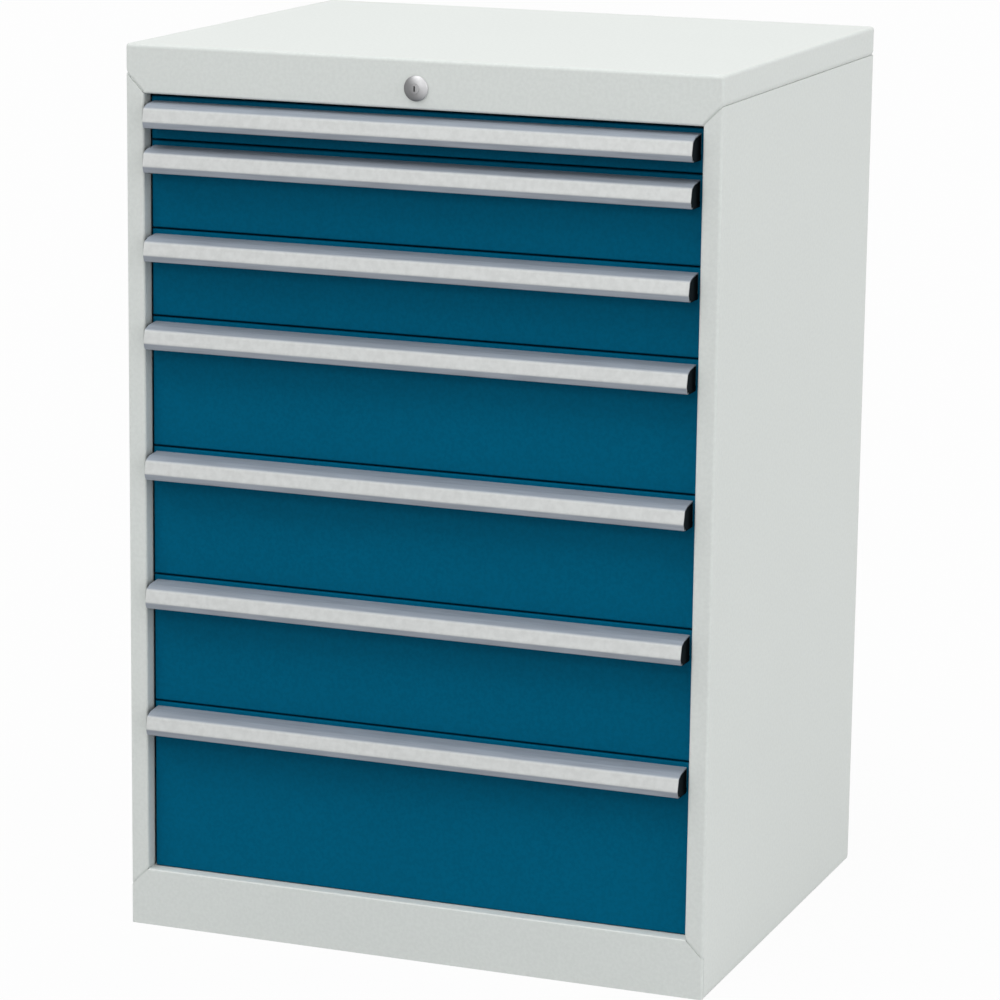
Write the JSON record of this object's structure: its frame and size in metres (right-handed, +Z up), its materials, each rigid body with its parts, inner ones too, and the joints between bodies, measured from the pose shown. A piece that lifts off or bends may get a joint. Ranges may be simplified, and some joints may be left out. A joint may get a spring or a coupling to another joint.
{
  "type": "drawer cabinet",
  "caption": "Free-standing steel cabinet with full-width drawers on telescopic runners, aluminium grip handles and a central lock in the top fascia.",
  "frame": {"origin": "bottom centre of the whole cabinet, handles included, on the floor", "axes": "+Z up, the drawers open towards -Y, +X to the right as seen from the front"},
  "size_m": [0.7, 0.5924, 1.025],
  "materials": {
    "housing_paint": "light grey powder coat",
    "drawer_paint": "blue powder coat",
    "drawer_interior": "light grey powder coat",
    "handle_aluminium": "satin anodised",
    "cap_plastic": "moulded",
    "runner_steel": "bright zinc plated",
    "lock_chrome": "polished",
    "bar_zinc": "zinc plated",
    "guide_plastic": "moulded"
  },
  "bodies": {
    "housing": {"side_panel_left": "housing_paint", "side_panel_right": "housing_paint", "top_cover": "housing_paint", "base_pan": "housing_paint", "back_panel": "housing_paint", "front_uprights": "runner_steel", "rear_uprights": "runner_steel", "fixed_runners_left": "runner_steel", "fixed_runners_right": "runner_steel", "lock_housing": "lock_chrome", "lock_nut": "runner_steel", "shaft_bracket": "runner_steel", "bar_guides": "guide_plastic"},
    "drawer_1": {"drawer_front_1": "drawer_paint", "drawer_box_1": "drawer_interior", "handle_1": "handle_aluminium", "end_caps_1": "cap_plastic", "drawer_runners_1": "runner_steel"},
    "runners_1": {"middle_runners_1": "runner_steel"},
    "drawer_2": {"drawer_front_2": "drawer_paint", "drawer_box_2": "drawer_interior", "handle_2": "handle_aluminium", "end_caps_2": "cap_plastic", "drawer_runners_2": "runner_steel"},
    "runners_2": {"middle_runners_2": "runner_steel"},
    "drawer_3": {"drawer_front_3": "drawer_paint", "drawer_box_3": "drawer_interior", "handle_3": "handle_aluminium", "end_caps_3": "cap_plastic", "drawer_runners_3": "runner_steel"},
    "runners_3": {"middle_runners_3": "runner_steel"},
    "drawer_4": {"drawer_front_4": "drawer_paint", "drawer_box_4": "drawer_interior", "handle_4": "handle_aluminium", "end_caps_4": "cap_plastic", "drawer_runners_4": "runner_steel"},
    "runners_4": {"middle_runners_4": "runner_steel"},
    "drawer_5": {"drawer_front_5": "drawer_paint", "drawer_box_5": "drawer_interior", "handle_5": "handle_aluminium", "end_caps_5": "cap_plastic", "drawer_runners_5": "runner_steel"},
    "runners_5": {"middle_runners_5": "runner_steel"},
    "drawer_6": {"drawer_front_6": "drawer_paint", "drawer_box_6": "drawer_interior", "handle_6": "handle_aluminium", "end_caps_6": "cap_plastic", "drawer_runners_6": "runner_steel"},
    "runners_6": {"middle_runners_6": "runner_steel"},
    "drawer_7": {"drawer_front_7": "drawer_paint", "drawer_box_7": "drawer_interior", "handle_7": "handle_aluminium", "end_caps_7": "cap_plastic", "drawer_runners_7": "runner_steel"},
    "runners_7": {"middle_runners_7": "runner_steel"},
    "locking_bar": {"locking_bar": "bar_zinc"},
    "lock": {"lock_plug": "lock_chrome", "lock_shaft": "runner_steel"}
  },
  "joints": [
    {"name": "drawer_1_slide", "type": "slide", "parent": "housing", "child": "drawer_1", "axis": [0, -1, 0], "range_m": [0, 0.46]},
    {"name": "runners_1_slide", "type": "slide", "parent": "housing", "child": "runners_1", "axis": [0, -1, 0], "range_m": [0, 0.23]},
    {"name": "drawer_2_slide", "type": "slide", "parent": "housing", "child": "drawer_2", "axis": [0, -1, 0], "range_m": [0, 0.46]},
    {"name": "runners_2_slide", "type": "slide", "parent": "housing", "child": "runners_2", "axis": [0, -1, 0], "range_m": [0, 0.23]},
    {"name": "drawer_3_slide", "type": "slide", "parent": "housing", "child": "drawer_3", "axis": [0, -1, 0], "range_m": [0, 0.46]},
    {"name": "runners_3_slide", "type": "slide", "parent": "housing", "child": "runners_3", "axis": [0, -1, 0], "range_m": [0, 0.23]},
    {"name": "drawer_4_slide", "type": "slide", "parent": "housing", "child": "drawer_4", "axis": [0, -1, 0], "range_m": [0, 0.46]},
    {"name": "runners_4_slide", "type": "slide", "parent": "housing", "child": "runners_4", "axis": [0, -1, 0], "range_m": [0, 0.23]},
    {"name": "drawer_5_slide", "type": "slide", "parent": "housing", "child": "drawer_5", "axis": [0, -1, 0], "range_m": [0, 0.46]},
    {"name": "runners_5_slide", "type": "slide", "parent": "housing", "child": "runners_5", "axis": [0, -1, 0], "range_m": [0, 0.23]},
    {"name": "drawer_6_slide", "type": "slide", "parent": "housing", "child": "drawer_6", "axis": [0, -1, 0], "range_m": [0, 0.46]},
    {"name": "runners_6_slide", "type": "slide", "parent": "housing", "child": "runners_6", "axis": [0, -1, 0], "range_m": [0, 0.23]},
    {"name": "drawer_7_slide", "type": "slide", "parent": "housing", "child": "drawer_7", "axis": [0, -1, 0], "range_m": [0, 0.46]},
    {"name": "runners_7_slide", "type": "slide", "parent": "housing", "child": "runners_7", "axis": [0, -1, 0], "range_m": [0, 0.23]},
    {"name": "locking_bar_slide", "type": "slide", "parent": "housing", "child": "locking_bar", "axis": [0, 0, 1], "range_m": [0, 0.01697]},
    {"name": "lock_turn", "type": "hinge", "parent": "housing", "child": "lock", "pos_m": [0, -0.27875, 0.993], "axis": [0, -1, 0], "range_deg": [0, 90]}
  ],
  "couplings": [
    {"joint": "runners_1_slide", "follows": "drawer_1_slide", "ratio": 0.5},
    {"joint": "runners_2_slide", "follows": "drawer_2_slide", "ratio": 0.5},
    {"joint": "runners_3_slide", "follows": "drawer_3_slide", "ratio": 0.5},
    {"joint": "runners_4_slide", "follows": "drawer_4_slide", "ratio": 0.5},
    {"joint": "runners_5_slide", "follows": "drawer_5_slide", "ratio": 0.5},
    {"joint": "runners_6_slide", "follows": "drawer_6_slide", "ratio": 0.5},
    {"joint": "runners_7_slide", "follows": "drawer_7_slide", "ratio": 0.5},
    {"joint": "lock_turn", "follows": "locking_bar_slide", "rad_per_m": 92.5}
  ]
}
